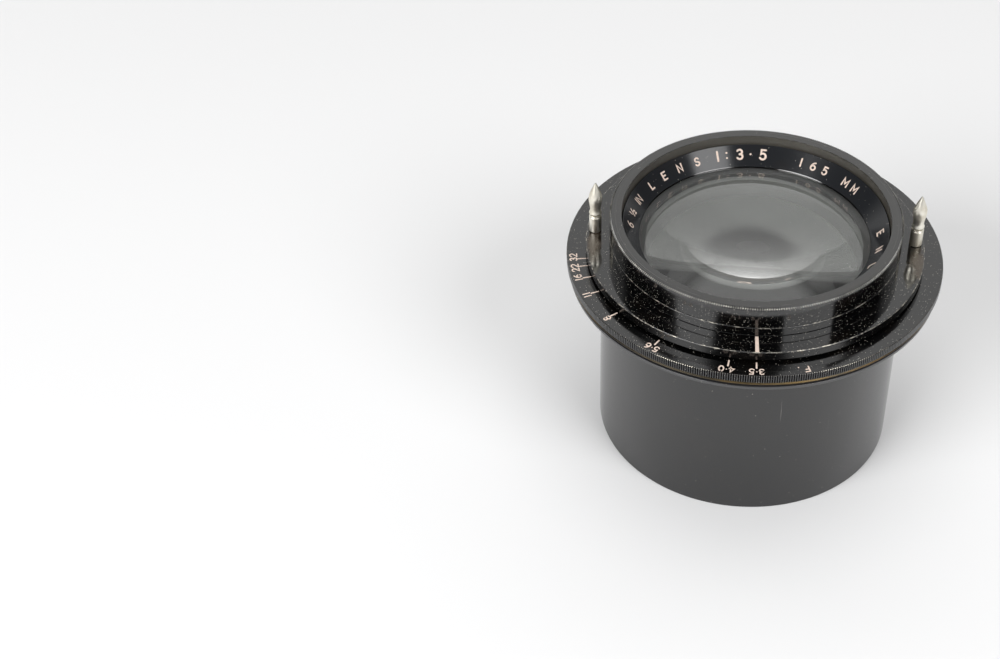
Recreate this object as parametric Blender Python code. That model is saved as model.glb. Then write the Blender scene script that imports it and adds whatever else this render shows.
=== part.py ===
"""Barrel-mounted enlarging lens, 165 mm f/3.5, with a sixteen-blade iris and two snap studs.

The lens stands on its rear rim with the optical axis along +Z, the front glass up, and the
index line at -Y. Lengths are millimetres, scaled to metres where the meshes are made.
"""

import math

import bmesh
import bpy
from mathutils import Matrix, Vector

MM = 0.001
FINE = 64            # sides of the outer turned pieces
MEDIUM = 48          # sides of the middle turned pieces
COARSE = 32          # sides of the inner turned pieces
GAP = 0.3            # clearance that stands in for threads and seats

# --- Barrel: rear tube, shelf and front neck -------------------------------------------------
TUBE_R = 31.75
BORE_R = 30.0
SHELF_R = 35.0
SHELF_BOTTOM_Z = 45.5
SHELF_TOP_Z = 47.4
NECK_R = 30.15
NECK_BORE_R = 28.6
NECK_TOP_Z = 49.3

# --- Aperture ring and the two rings under it ------------------------------------------------
RING_R = 39.05
RING_BOTTOM_Z = 43.1
RING_TOP_Z = 44.85
RING_CHAMFER = 0.25
RETAINER_R = 38.8
RETAINER_BOTTOM_Z = 42.1
RETAINER_TOP_Z = 42.8
PLATE_R = 38.5
PLATE_BOTTOM_Z = 40.8
PLATE_TOP_Z = 41.5
RING_TRAVEL_DEG = 82.5

# --- Front cell, name ring and front glass ---------------------------------------------------
RIM_R = 30.12
RIM_CHAMFER = 0.37
RIM_INNER_R = 27.63
RIM_TOP_Z = 54.3
HEAD_BOTTOM_Z = 49.45
CELL_R = 28.3
CELL_BOTTOM_Z = 30.9
NAME_TOP_R = 27.3
NAME_TOP_Z = 52.3
NAME_BOTTOM_R = 23.86
NAME_BOTTOM_Z = 48.8
FRONT_APEX_Z = 53.4
FRONT_CURVE_R = 60.0
FRONT_GLASS_R = 24.9

# --- Iris ------------------------------------------------------------------------------------
BLADES = 16
PITCH_DEG = 360.0 / BLADES
PIVOT_R = 28.4
BLADE_INNER_R = 21.0
BLADE_OUTER_R = 27.3
BLADE_THICK = 0.13
BLADE_STEP_Z = 0.23
BLADE_FIRST_Z = 25.9
POST_R = 0.45
BLADE_HOLE_R = 0.55
EAR_R = 1.1
STUD_ARC_R = 24.15
STUD_ARC_DEG = 147.0
TIP_R = 1.3
SEAT_BOTTOM_Z = 24.4
SEAT_TOP_Z = 25.5
POST_TOP_Z = 29.6
SLEEVE_R = 29.7
SLEEVE_BORE_R = 28.9
SLEEVE_BOTTOM_Z = 29.9
SLEEVE_FLANGE = 0.6
SLEEVE_TOP_Z = 45.2
SLEEVE_OPENING_R = 21.2
CAM_SLOT = (21.7, 27.4, 1.1)      # inner end, outer end, width

# --- Drive screw, through a slot in the barrel wall ------------------------------------------
SCREW_Z = 0.5 * (RING_BOTTOM_Z + RING_TOP_Z)
SCREW_R = 0.5
SCREW_HOLE_R = 0.62
SCREW_AZIMUTH_DEG = 90.0
SCREW_SPAN = (29.1, 38.7)
WALL_SLOT_SPARE_DEG = 1.6

# --- Rear cell and cemented rear pair --------------------------------------------------------
REAR_GLASS_R = 22.6
REAR_CELL_BOTTOM_Z = 1.0
REAR_CELL_TOP_Z = 24.1

# --- Snap studs on the shelf -----------------------------------------------------------------
STUD_CIRCLE_R = 33.2
STUD_AZIMUTHS_DEG = {"left": 176.7, "right": 0.46}
STUD_TAIL_R = 0.65
STUD_HOLE_R = 0.95
COLLAR_R = 1.3
COLLAR_TOP_Z = 51.7
STUD_TIP_Z = 60.0
STUD_SPLIT = 0.3

STEEL = (0.045, 0.045, 0.05)
LACQUER = (0.012, 0.012, 0.014)
SATIN_BLACK = (0.03, 0.03, 0.032)
BRASS = (0.66, 0.47, 0.22)
NICKEL = (0.62, 0.56, 0.47)
GLASS = (0.80, 0.84, 0.86)


def clear_scene():
    for item in list(bpy.data.objects):
        bpy.data.objects.remove(item, do_unlink=True)


def material(name, colour, roughness, metallic):
    made = bpy.data.materials.new(name)
    made.use_nodes = True
    shader = made.node_tree.nodes["Principled BSDF"]
    shader.inputs["Base Color"].default_value = (*colour, 1.0)
    shader.inputs["Roughness"].default_value = roughness
    shader.inputs["Metallic"].default_value = metallic
    made.diffuse_color = (*colour, 1.0)
    return made


def place(name, mesh_data, parent=None, location=(0.0, 0.0, 0.0), turn_deg=0.0):
    """Link an object; its location is in millimetres."""
    item = bpy.data.objects.new(name, mesh_data)
    item.location = Vector(location) * MM
    item.rotation_euler = (0.0, 0.0, math.radians(turn_deg))
    item.parent = parent
    bpy.context.scene.collection.objects.link(item)
    return item


def finish_mesh(name, shape, skin=None):
    """Turn a bmesh drawn in millimetres into a mesh in metres."""
    bmesh.ops.recalc_face_normals(shape, faces=shape.faces)
    bmesh.ops.scale(shape, vec=(MM, MM, MM), verts=shape.verts)
    mesh_data = bpy.data.meshes.new(name)
    shape.to_mesh(mesh_data)
    shape.free()
    mesh_data.shade_smooth()
    mesh_data.set_sharp_from_angle(angle=math.radians(30.0))
    if skin is not None:
        mesh_data.materials.append(skin)
    return mesh_data


def polar(radius, degrees, z=0.0):
    angle = math.radians(degrees)
    return Vector((radius * math.cos(angle), radius * math.sin(angle), z))


def turned_shape(profile, sides, closed=True):
    """Spin a profile of (radius, z) points about the optical axis."""
    shape = bmesh.new()
    points = [shape.verts.new((radius, 0.0, z)) for radius, z in profile]
    edges = [shape.edges.new(pair) for pair in zip(points, points[1:])]
    if closed:
        edges.append(shape.edges.new((points[-1], points[0])))
    bmesh.ops.spin(
        shape, geom=points + edges, cent=(0.0, 0.0, 0.0), axis=(0.0, 0.0, 1.0),
        angle=math.tau, steps=sides, use_merge=True,
    )
    bmesh.ops.remove_doubles(shape, verts=shape.verts, dist=0.001)
    return shape


def turned(name, profile, skin, sides=FINE, closed=True, parent=None):
    return place(name, finish_mesh(name, turned_shape(profile, sides, closed), skin), parent)


def ring_profile(inner, outer, bottom, top, chamfer=0.0):
    """A rectangular section whose two outer corners may be chamfered."""
    if chamfer == 0.0:
        return [(inner, top), (outer, top), (outer, bottom), (inner, bottom)]
    return [
        (inner, top), (outer - chamfer, top), (outer, top - chamfer),
        (outer, bottom + chamfer), (outer - chamfer, bottom), (inner, bottom),
    ]


def cap_points(apex_z, curve_r, edge_r, rings):
    """Points of a spherical surface from the axis outwards; curve_r > 0 falls with radius."""
    points = []
    for step in range(rings + 1):
        radius = edge_r * step / rings
        sag = abs(curve_r) - math.sqrt(curve_r ** 2 - radius ** 2)
        points.append((radius, apex_z - math.copysign(sag, curve_r)))
    return points


def glass_element(name, front, rear, edge_r, rim_r, skin, rings=3):
    """A lens: front and rear are (apex z, signed curvature radius), with a flat rim band."""
    upper = cap_points(front[0], front[1], edge_r, rings)
    lower = cap_points(rear[0], rear[1], edge_r, rings)
    rim = [(rim_r, upper[-1][1]), (rim_r, lower[-1][1])] if rim_r > edge_r else []
    return turned(name, upper + rim + lower[::-1], skin, COARSE, closed=False)


def prism(shape, outline, bottom, top):
    """Add one closed prism over a flat outline of (x, y) points."""
    low = [shape.verts.new((x, y, bottom)) for x, y in outline]
    face = shape.faces.new(low)
    lifted = bmesh.ops.extrude_face_region(shape, geom=[face])["geom"]
    risen = [part for part in lifted if isinstance(part, bmesh.types.BMVert)]
    bmesh.ops.translate(shape, verts=risen, vec=(0.0, 0.0, top - bottom))


def circle_points(centre, radius, count, start_deg=0.0, sweep_deg=360.0, open_end=True):
    """Points on a circle in the plane; open_end leaves out the point that closes it."""
    parts = count if open_end else count - 1
    return [
        tuple((centre + polar(radius, start_deg + sweep_deg * step / parts)).to_2d())
        for step in range(count)
    ]


def rod(shape, base, direction, radius, length, sides=12):
    """Add a closed cylinder that starts at base and runs along direction."""
    turn = Vector(direction).to_track_quat("Z", "Y").to_matrix().to_4x4()
    middle = Vector(base) + Vector(direction).normalized() * length / 2.0
    bmesh.ops.create_cone(
        shape, cap_ends=True, segments=sides, radius1=radius, radius2=radius,
        depth=length, matrix=Matrix.Translation(middle) @ turn,
    )


def apply_tool(target, name, shape, operation):
    """Cut target with, or join it to, a hidden tool body."""
    tool = place(name, finish_mesh(name, shape), parent=target.parent)
    tool.hide_render = True
    tool.display_type = "WIRE"
    step = target.modifiers.new(name, "BOOLEAN")
    step.operation = operation
    step.solver = "EXACT"
    step.object = tool


def make_barrel(skin):
    profile = [
        (NECK_BORE_R, NECK_TOP_Z), (NECK_R, NECK_TOP_Z), (NECK_R, SHELF_TOP_Z),
        (SHELF_R, SHELF_TOP_Z), (SHELF_R, SHELF_BOTTOM_Z), (TUBE_R, SHELF_BOTTOM_Z),
        (TUBE_R, 0.0), (BORE_R, 0.0), (BORE_R, SHELF_BOTTOM_Z), (NECK_BORE_R, SHELF_BOTTOM_Z),
    ]
    barrel = turned("barrel", profile, skin)
    cutter = bmesh.new()
    half_height = SCREW_R + 0.17
    section = [
        cutter.verts.new((radius, 0.0, SCREW_Z + lift * half_height))
        for radius, lift in [(BORE_R - 1, -1), (TUBE_R + 1, -1), (TUBE_R + 1, 1), (BORE_R - 1, 1)]
    ]
    face = cutter.faces.new(section)
    start = SCREW_AZIMUTH_DEG - WALL_SLOT_SPARE_DEG
    bmesh.ops.rotate(
        cutter, verts=section, matrix=Matrix.Rotation(math.radians(start), 3, "Z"),
    )
    sweep = math.radians(RING_TRAVEL_DEG + 2.0 * WALL_SLOT_SPARE_DEG)
    bmesh.ops.spin(cutter, geom=[face], axis=(0.0, 0.0, 1.0), angle=sweep, steps=16)
    for azimuth in STUD_AZIMUTHS_DEG.values():
        base = polar(STUD_CIRCLE_R, azimuth, SHELF_BOTTOM_Z - 1.0)
        rod(cutter, base, (0.0, 0.0, 1.0), STUD_HOLE_R, 4.0)
    apply_tool(barrel, "barrel_cutter", cutter, "DIFFERENCE")


def make_front_cell(skin, name_skin, glass):
    profile = [
        (RIM_INNER_R, RIM_TOP_Z), (RIM_R - RIM_CHAMFER, RIM_TOP_Z),
        (RIM_R, RIM_TOP_Z - RIM_CHAMFER), (RIM_R, HEAD_BOTTOM_Z), (CELL_R, HEAD_BOTTOM_Z),
        (CELL_R, CELL_BOTTOM_Z), (20.6, CELL_BOTTOM_Z), (20.6, 31.3), (22.9, 31.3),
        (22.9, 41.2), (25.2, 41.2), (25.2, 47.4), (RIM_INNER_R, 47.4),
    ]
    turned("front_cell", profile, skin)
    name_ring = [
        (NAME_TOP_R, NAME_TOP_Z), (NAME_TOP_R, 47.7), (25.4, 47.7),
        (NAME_BOTTOM_R, NAME_BOTTOM_Z - 0.1), (NAME_BOTTOM_R, NAME_BOTTOM_Z),
    ]
    turned("name_ring", name_ring, name_skin, MEDIUM)
    glass_element(
        "front_element", (FRONT_APEX_Z, FRONT_CURVE_R), (44.4, -400.0),
        FRONT_GLASS_R, FRONT_GLASS_R, glass, rings=5,
    )
    glass_element("second_element", (38.6, -95.0), (35.6, 55.0), 20.5, REAR_GLASS_R, glass)
    turned("spacer_ring", ring_profile(21.6, 24.9, 41.5, 44.75), skin, COARSE)


def make_iris_seat(skin):
    profile = ring_profile(BLADE_INNER_R + 0.2, SLEEVE_R, SEAT_BOTTOM_Z, SEAT_TOP_Z)
    seat = turned("iris_seat_ring", profile, skin, COARSE)
    posts = bmesh.new()
    for index in range(BLADES):
        base = polar(PIVOT_R, index * PITCH_DEG, SEAT_BOTTOM_Z + 0.5)
        rod(posts, base, (0.0, 0.0, 1.0), POST_R, POST_TOP_Z - SEAT_BOTTOM_Z - 0.5, sides=6)
    apply_tool(seat, "iris_posts", posts, "UNION")


def blade_outline():
    """The crescent about its own pivot: ear, outer arc, narrow tip, inner arc."""
    pivot = polar(PIVOT_R, 0.0)
    tip = polar(STUD_ARC_R, STUD_ARC_DEG)
    centre = Vector((0.0, 0.0, 0.0))
    outline = circle_points(pivot, EAR_R, 5, -100.0, 170.0, open_end=False)
    outline += circle_points(centre, BLADE_OUTER_R, 9, 4.0, 124.0, open_end=False)
    outline += circle_points(tip, TIP_R, 4, STUD_ARC_DEG, 180.0, open_end=False)
    outline += circle_points(centre, BLADE_INNER_R, 10, 138.0, -141.0, open_end=False)
    return [(x - PIVOT_R, y) for x, y in outline]


def blade_mesh(skin):
    shape = bmesh.new()
    edges = []
    loops = (blade_outline(), circle_points(Vector((0.0, 0.0, 0.0)), BLADE_HOLE_R, 8))
    for loop in loops:
        points = [shape.verts.new((x, y, 0.0)) for x, y in loop]
        edges += [shape.edges.new(pair) for pair in zip(points, points[1:] + points[:1])]
    bmesh.ops.triangle_fill(shape, use_beauty=True, edges=edges)
    lifted = bmesh.ops.extrude_face_region(shape, geom=list(shape.faces))["geom"]
    risen = [part for part in lifted if isinstance(part, bmesh.types.BMVert)]
    bmesh.ops.translate(shape, verts=risen, vec=(0.0, 0.0, BLADE_THICK))
    return finish_mesh("iris_blade", shape, skin)


def make_blades(skin):
    mesh_data = blade_mesh(skin)
    for index in range(BLADES):
        turn = index * PITCH_DEG
        pivot = polar(PIVOT_R, turn, BLADE_FIRST_Z + index * BLADE_STEP_Z)
        place(f"iris_blade_{index + 1:02d}", mesh_data, location=pivot, turn_deg=turn)


def make_drive_sleeve(skin, axis):
    flange_top = SLEEVE_BOTTOM_Z + SLEEVE_FLANGE
    profile = [
        (SLEEVE_BORE_R, SLEEVE_TOP_Z), (SLEEVE_R, SLEEVE_TOP_Z), (SLEEVE_R, SLEEVE_BOTTOM_Z),
        (SLEEVE_OPENING_R, SLEEVE_BOTTOM_Z), (SLEEVE_OPENING_R, flange_top),
        (SLEEVE_BORE_R, flange_top),
    ]
    sleeve = turned("iris_drive_sleeve", profile, skin, MEDIUM, parent=axis)
    inner, outer, width = CAM_SLOT
    cutter = bmesh.new()
    for index in range(BLADES):
        turn = Matrix.Rotation(math.radians(index * PITCH_DEG + STUD_ARC_DEG), 2)
        corners = [(inner, -width / 2), (outer, -width / 2), (outer, width / 2), (inner, width / 2)]
        outline = [tuple(turn @ Vector(corner)) for corner in corners]
        prism(cutter, outline, SLEEVE_BOTTOM_Z - 1.0, SLEEVE_BOTTOM_Z + 2.0)
    rod(cutter, polar(SLEEVE_BORE_R - 1.5, SCREW_AZIMUTH_DEG, SCREW_Z),
        polar(1.0, SCREW_AZIMUTH_DEG), SCREW_HOLE_R, 4.0)
    apply_tool(sleeve, "cam_slot_cutter", cutter, "DIFFERENCE")


def make_aperture_ring(skin, screw_skin, axis):
    profile = ring_profile(TUBE_R + GAP, RING_R, RING_BOTTOM_Z, RING_TOP_Z, RING_CHAMFER)
    ring = turned("aperture_ring", profile, skin, parent=axis)
    cutter = bmesh.new()
    rod(cutter, polar(TUBE_R - 1.0, SCREW_AZIMUTH_DEG, SCREW_Z),
        polar(1.0, SCREW_AZIMUTH_DEG), SCREW_HOLE_R, 10.0)
    apply_tool(ring, "ring_hole_cutter", cutter, "DIFFERENCE")
    inner, outer = SCREW_SPAN
    screw = bmesh.new()
    rod(screw, polar(inner, SCREW_AZIMUTH_DEG, SCREW_Z), polar(1.0, SCREW_AZIMUTH_DEG),
        SCREW_R, outer - inner)
    place("drive_screw", finish_mesh("drive_screw", screw, screw_skin), axis)


def make_lower_rings(brass, plate_skin):
    inner = TUBE_R + GAP
    turned("ring_retainer", ring_profile(inner, RETAINER_R, RETAINER_BOTTOM_Z, RETAINER_TOP_Z), brass)
    turned("seating_plate", ring_profile(inner, PLATE_R, PLATE_BOTTOM_Z, PLATE_TOP_Z), plate_skin)


def make_rear_cell(skin, glass):
    profile = [
        (SLEEVE_R, REAR_CELL_TOP_Z), (SLEEVE_R, REAR_CELL_BOTTOM_Z), (27.2, REAR_CELL_BOTTOM_Z),
        (24.5, 7.0), (24.5, 12.4), (22.9, 12.4), (22.9, 23.3), (21.2, 23.3),
        (21.2, REAR_CELL_TOP_Z),
    ]
    turned("rear_cell", profile, skin, MEDIUM)
    glass_element("rear_pair_front", (22.1, -250.0), (19.5, 54.0), 21.5, REAR_GLASS_R, glass)
    glass_element("rear_pair_back", (19.2, 54.0), (9.2, -75.0), 21.5, REAR_GLASS_R, glass)
    ring = turned("rear_retaining_ring", ring_profile(21.2, 24.2, 9.9, 11.9), skin, COARSE)
    cutter = bmesh.new()
    for side in (-1, 1):
        outline = [(side * 20.0, -0.75), (side * 26.0, -0.75), (side * 26.0, 0.75), (side * 20.0, 0.75)]
        prism(cutter, outline, 9.0, 10.7)
    apply_tool(ring, "spanner_slot_cutter", cutter, "DIFFERENCE")


def make_snap_stud(side, azimuth, pin_skin, collar_skin):
    """A split spring stud whose tail passes through a collar into the shelf."""
    spot = polar(STUD_CIRCLE_R, azimuth)
    stud_profile = [
        (0.0, STUD_TIP_Z), (0.45, 59.4), (1.45, 56.4), (1.45, 56.0), (1.12, 53.2), (1.12, 52.0),
        (STUD_TAIL_R, 52.0), (STUD_TAIL_R, 45.7), (0.0, 45.7),
    ]
    shape = turned_shape(stud_profile, 16, closed=False)
    stud = place(f"snap_stud_{side}", finish_mesh("snap_stud", shape, pin_skin), None, spot, azimuth)
    cutter = bmesh.new()
    half = STUD_SPLIT / 2.0
    prism(cutter, [(-3.0, -half), (3.0, -half), (3.0, half), (-3.0, half)], 52.6, 61.0)
    bmesh.ops.translate(cutter, verts=cutter.verts, vec=spot)
    apply_tool(stud, f"stud_split_{side}", cutter, "DIFFERENCE")
    collar = ring_profile(STUD_HOLE_R, COLLAR_R, SHELF_TOP_Z + 0.1, COLLAR_TOP_Z)
    shape = turned_shape(collar, 16)
    place(f"stud_collar_{side}", finish_mesh("stud_collar", shape, collar_skin), None, spot)


def main():
    clear_scene()
    lacquer = material("black_lacquer", LACQUER, 0.15, 0.0)
    satin = material("satin_black", SATIN_BLACK, 0.4, 0.0)
    steel = material("blued_steel", STEEL, 0.35, 1.0)
    brass = material("brass", BRASS, 0.3, 1.0)
    nickel = material("nickelled_brass", NICKEL, 0.3, 1.0)
    glass = material("optical_glass", GLASS, 0.02, 0.0)
    control_axis = place("iris_control_axis", None)
    make_barrel(lacquer)
    make_front_cell(lacquer, satin, glass)
    make_iris_seat(satin)
    make_blades(steel)
    make_drive_sleeve(satin, control_axis)
    make_aperture_ring(lacquer, nickel, control_axis)
    make_lower_rings(brass, satin)
    make_rear_cell(satin, glass)
    for side, azimuth in STUD_AZIMUTHS_DEG.items():
        make_snap_stud(side, azimuth, nickel, nickel)


main()
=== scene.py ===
"""Looks of the barrel-mounted enlarging lens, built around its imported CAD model.

Shapes are drawn in millimetres in the part's own frame: the optical axis is +Z, the index line is
at -Y and the rear rim stands on z = 0. Meshes are scaled to metres where they are made.
"""

import math

import bmesh
import bpy
from mathutils import Matrix, Vector

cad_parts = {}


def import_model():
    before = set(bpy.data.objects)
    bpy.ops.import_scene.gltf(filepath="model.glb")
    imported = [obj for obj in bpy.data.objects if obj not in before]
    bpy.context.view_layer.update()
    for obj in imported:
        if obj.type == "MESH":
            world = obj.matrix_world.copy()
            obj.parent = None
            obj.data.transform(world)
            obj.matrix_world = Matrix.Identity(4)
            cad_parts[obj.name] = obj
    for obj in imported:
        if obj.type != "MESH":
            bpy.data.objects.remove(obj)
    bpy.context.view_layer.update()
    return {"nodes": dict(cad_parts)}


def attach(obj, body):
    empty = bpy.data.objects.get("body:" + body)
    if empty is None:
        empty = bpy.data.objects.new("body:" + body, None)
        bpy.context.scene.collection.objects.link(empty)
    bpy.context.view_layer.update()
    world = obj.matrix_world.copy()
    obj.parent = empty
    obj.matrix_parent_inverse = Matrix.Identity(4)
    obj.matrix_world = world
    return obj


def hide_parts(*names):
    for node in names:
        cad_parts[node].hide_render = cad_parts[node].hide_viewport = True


MM = 0.001
FINE = 288           # sides of a plain turned piece
TINY = 48            # sides of a stud
SHARP_DEG = 38.0     # edges that bend more than this are drawn sharp
GLASS_SHARP_DEG = 25.0
STROKE_SHARP_DEG = 20.0
BEAD_SHARP_DEG = 60.0
SUPPORT = 0.06       # a point this far past a rounded corner keeps the flat beside it truly flat

# --- Sizes in millimetres, in the frame of the CAD model -------------------------------------
TUBE_R = 31.75
BORE_R = 30.0
SHELF_R = 35.0
SHELF_BOTTOM_Z = 45.5
SHELF_TOP_Z = 47.4
NECK_R = 30.15
NECK_BORE_R = 28.6
NECK_TOP_Z = 49.38
NECK_FOOT_R = NECK_R - 0.12  # a shallow groove where the neck meets the shelf

RING_R = 39.05
RING_BORE_R = 32.05
RING_BOTTOM_Z = 43.1
RING_TOP_Z = 44.85
RING_TEETH = 520

RIM_R = 30.12
RIM_INNER_R = 27.63
RIM_TOP_Z = 54.3
RIM_TEETH = 400
RIM_CHAMFER = 0.50
BEAD_HEIGHT = 0.22
BEAD_CREST = 0.15            # beads are rubbed bare where r + z is this far over the chamfer's
HEAD_BOTTOM_Z = 49.44
CELL_R = 28.3
CELL_BOTTOM_Z = 30.9
REAR_LIP_R = 20.6            # the lip that holds the second glass
REAR_LIP_Z = 31.3
SECOND_BORE_R = 22.9         # the bore for the second glass and its spacer
SECOND_BORE_Z = 41.2
FRONT_BORE_R = 25.2          # the bore for the front glass
FRONT_BORE_Z = 47.4

NAME_TOP = (27.4, 52.35)
NAME_BOTTOM = (23.86, 48.55)
NAME_UNDERSIDE = (25.4, 47.75)
NAME_LIP_FILLET = 0.55

LOWER_RINGS_R = 38.5         # both rings under the aperture ring
RETAINER_BEVEL_R = 38.8
RETAINER_TOP_Z = 42.8
RETAINER_BEVEL_Z = (42.55, 42.38)
RETAINER_BOTTOM_Z = 42.1
PLATE_TOP_Z = 41.5
PLATE_BOTTOM_Z = 40.8

# --- Glasses: apex height and radius of curvature of each surface ----------------------------
FRONT_GLASS_R = 24.9
FRONT_GLASS = ((53.4, 60.0), (44.4, -400.0))
INNER_GLASS_R = 22.6
INNER_GLASSES = (            # piece, node, upper surface, lower surface, radius of the polished part
    ("second_glass", "second_element", (38.6, -95.0), (35.6, 55.0), 20.5),
    ("rear_glass_front", "rear_pair_front", (22.1, -250.0), (19.5, 54.0), 21.5),
    ("rear_glass_back", "rear_pair_back", (19.2, 54.0), (9.2, -75.0), 21.5),
)

STUD_CIRCLE_R = 33.2
STUD_AZIMUTHS_DEG = {"left": 176.7, "right": 0.46}
STUD_HEAD = (
    (0.0, 59.78), (0.10, 59.70), (0.28, 59.3), (0.62, 58.5), (0.96, 57.7), (1.22, 57.0), (1.38, 56.45),
)
STUD_WAIST = (
    (1.43, 55.95), (1.42, 55.5), (1.34, 54.8), (1.22, 54.1), (1.13, 53.5), (1.11, 53.0), (1.16, 52.6),
)
STUD_SHOULDER = ((1.27, 52.35), (1.32, 52.22), (1.32, 52.1), (1.26, 52.02), (0.85, 52.02))
STUD_SHANK = ((0.85, 45.7), (0.0, 45.7))
STUD_COLLAR = (
    (0.95, 51.68, 0.02), (1.22, 51.68, 0.08), (1.22, 51.3), (1.3, 51.2, 0.04), (1.3, 47.52, 0.06),
    (0.95, 47.52, 0.02),
)
STUD_SAW_LENGTH = 6.0
STUD_SLOT_WIDTH = 0.30
STUD_SLOT_Z = (52.6, 61.0)

# --- Where hands wore the lacquer: centre and half axes in millimetres -----------------------
WORN_BY_STUDS = (((-33.4, -2.5, 47.4), (1.9, 7.5, 5.0)), ((33.7, -7.5, 47.4), (2.2, 7.5, 5.0)))
WORN_RING_EDGE = (((-17.0, -35.0, 44.8), (12.0, 6.0, 5.0)), ((18.5, -34.3, 44.8), (13.0, 6.0, 5.0)))

# --- Camera: the photograph's viewing angle --------------------------------------------------
CAMERA_TARGET = Vector((-56.61, 22.53, 0.0))
CAMERA_DISTANCE = 427.5
CAMERA_ELEVATION_DEG = 41.47
CAMERA_YAW_DEG = 6.51
CAMERA_ROLL_DEG = -2.40
CAMERA_FOCAL = 64.618
CAMERA_SENSOR = 36.0


# =============================================================================================
# Mesh helpers
# =============================================================================================
def polar(radius, degrees, z=0.0):
    angle = math.radians(degrees)
    return Vector((radius * math.cos(angle), radius * math.sin(angle), z))


def make_piece(name, shape, skin, body, sharp_deg=SHARP_DEG):
    """Turn a bmesh drawn in millimetres into a piece that rides on a body."""
    bmesh.ops.scale(shape, vec=(MM, MM, MM), verts=shape.verts)
    data = bpy.data.meshes.new(name)
    shape.to_mesh(data)
    shape.free()
    data.shade_smooth()
    data.set_sharp_from_angle(angle=math.radians(sharp_deg))
    data.materials.append(skin)
    piece = bpy.data.objects.new(name, data)
    bpy.context.scene.collection.objects.link(piece)
    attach(piece, body)
    return piece


def paint_faces(piece, skin, chosen):
    """Give a second material to the faces for which chosen(radius, z), in millimetres, is true."""
    piece.data.materials.append(skin)
    index = len(piece.data.materials) - 1
    for face in piece.data.polygons:
        spot = face.center / MM
        if chosen(math.hypot(spot.x, spot.y), spot.z):
            face.material_index = index


def rounded(corners, steps=4):
    """Round the corners of a closed (r, z) section; each corner is (r, z) or (r, z, radius)."""
    outline = []
    count = len(corners)
    for index, corner in enumerate(corners):
        point = Vector(corner[:2])
        radius = corner[2] if len(corner) > 2 else 0.0
        before = (Vector(corners[index - 1][:2]) - point).normalized()
        after = (Vector(corners[(index + 1) % count][:2]) - point).normalized()
        if radius == 0.0:
            outline.append(point)
            continue
        half = before.angle(after) / 2.0
        centre = point + (before + after).normalized() * radius / math.sin(half)
        start = point + before * radius / math.tan(half) - centre
        end = point + after * radius / math.tan(half) - centre
        sweep = start.angle_signed(end)
        arc = [centre + Matrix.Rotation(-sweep * step / steps, 2) @ start for step in range(steps + 1)]
        outline += [arc[0] + before * SUPPORT, *arc, arc[-1] + after * SUPPORT]
    return outline


def lathe(section, sides=FINE, closed=True, wave=None):
    """Spin an (r, z) section about Z; wave(index, side) may shift a point's radius and height."""
    shape = bmesh.new()
    columns = []
    for side in range(sides):
        angle = math.tau * side / sides
        column = []
        for index, (radius, z) in enumerate(section):
            if radius < 1e-6 and columns:
                column.append(columns[0][index])
                continue
            shift = wave(index, side) if wave else (0.0, 0.0)
            spot = (
                (radius + shift[0]) * math.cos(angle),
                (radius + shift[0]) * math.sin(angle),
                z + shift[1],
            )
            column.append(shape.verts.new(spot))
        columns.append(column)
    spans = len(section) if closed else len(section) - 1
    for side in range(sides):
        here = columns[side]
        there = columns[(side + 1) % sides]
        for index in range(spans):
            follow = (index + 1) % len(section)
            corners = []
            for vertex in (here[index], here[follow], there[follow], there[index]):
                if vertex not in corners:
                    corners.append(vertex)
            shape.faces.new(corners)
    bmesh.ops.recalc_face_normals(shape, faces=shape.faces)
    return shape


def spherical(apex_z, curve_r, edge_r, rings):
    """Points of a spherical surface from the axis outwards; curve_r > 0 falls with radius."""
    points = []
    for step in range(rings + 1):
        radius = edge_r * step / rings
        sag = abs(curve_r) - math.sqrt(curve_r ** 2 - radius ** 2)
        points.append((radius, apex_z - math.copysign(sag, curve_r)))
    return points


# =============================================================================================
# Node helpers
# =============================================================================================
class Nodes:
    """A short way to wire a node tree."""

    def __init__(self, tree):
        self.tree = tree

    def add(self, kind, **values):
        node = self.tree.nodes.new(kind)
        for key, value in values.items():
            if hasattr(node, key):
                setattr(node, key, value)
            else:
                node.inputs[key.replace("_", " ")].default_value = value
        return node

    def link(self, source, target):
        self.tree.links.new(source, target)

    def ramp(self, source, low, high, start=0.0, end=1.0):
        """Map source from low..high to start..end, held at both ends."""
        node = self.add("ShaderNodeMapRange")
        node.clamp = True
        for key, value in (("From Min", low), ("From Max", high), ("To Min", start), ("To Max", end)):
            node.inputs[key].default_value = value
        self.link(source, node.inputs["Value"])
        return node.outputs["Result"]

    def math(self, operation, first, second=0.0):
        node = self.add("ShaderNodeMath")
        node.operation = operation
        for index, value in enumerate((first, second)):
            if isinstance(value, (int, float)):
                node.inputs[index].default_value = value
            else:
                self.link(value, node.inputs[index])
        return node.outputs[0]

    def mix(self, share, first, second):
        """Mix two colours; each is a tuple or a socket."""
        node = self.add("ShaderNodeMix")
        node.data_type = "RGBA"
        self.link(share, node.inputs[0])
        for index, value in ((6, first), (7, second)):
            if isinstance(value, tuple):
                node.inputs[index].default_value = (*value, 1.0)
            else:
                self.link(value, node.inputs[index])
        return node.outputs[2]


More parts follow.
